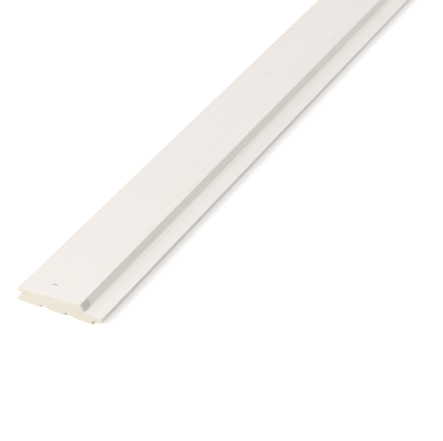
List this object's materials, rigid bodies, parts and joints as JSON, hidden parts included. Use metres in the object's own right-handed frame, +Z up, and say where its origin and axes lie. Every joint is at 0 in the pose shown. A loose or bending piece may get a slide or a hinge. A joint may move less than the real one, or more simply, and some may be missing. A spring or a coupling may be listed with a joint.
{
  "type": "tongue and groove board",
  "caption": "Long wedge-shaped softwood cladding board with a groove along its thin edge, a tongue along the other, a bevelled shadow gap beside its white painted face and relief channels in its flat back.",
  "frame": {"origin": "middle of the board's underside, with the board lying on its back", "axes": "+X across the board towards its tongue, +Y along the board away from the end that the picture shows, +Z up from the flat back and out of the painted face, which slopes by 4 degrees"},
  "size_m": [0.096, 1.8, 0.019],
  "materials": {
    "painted_softwood": "satin white paint on the face, bevel, shadow gap and tongue, thinner on the groove edge, bare sawn and planed softwood on the ends and back"
  },
  "bodies": {
    "root": {"board": "painted_softwood"}
  },
  "joints": []
}
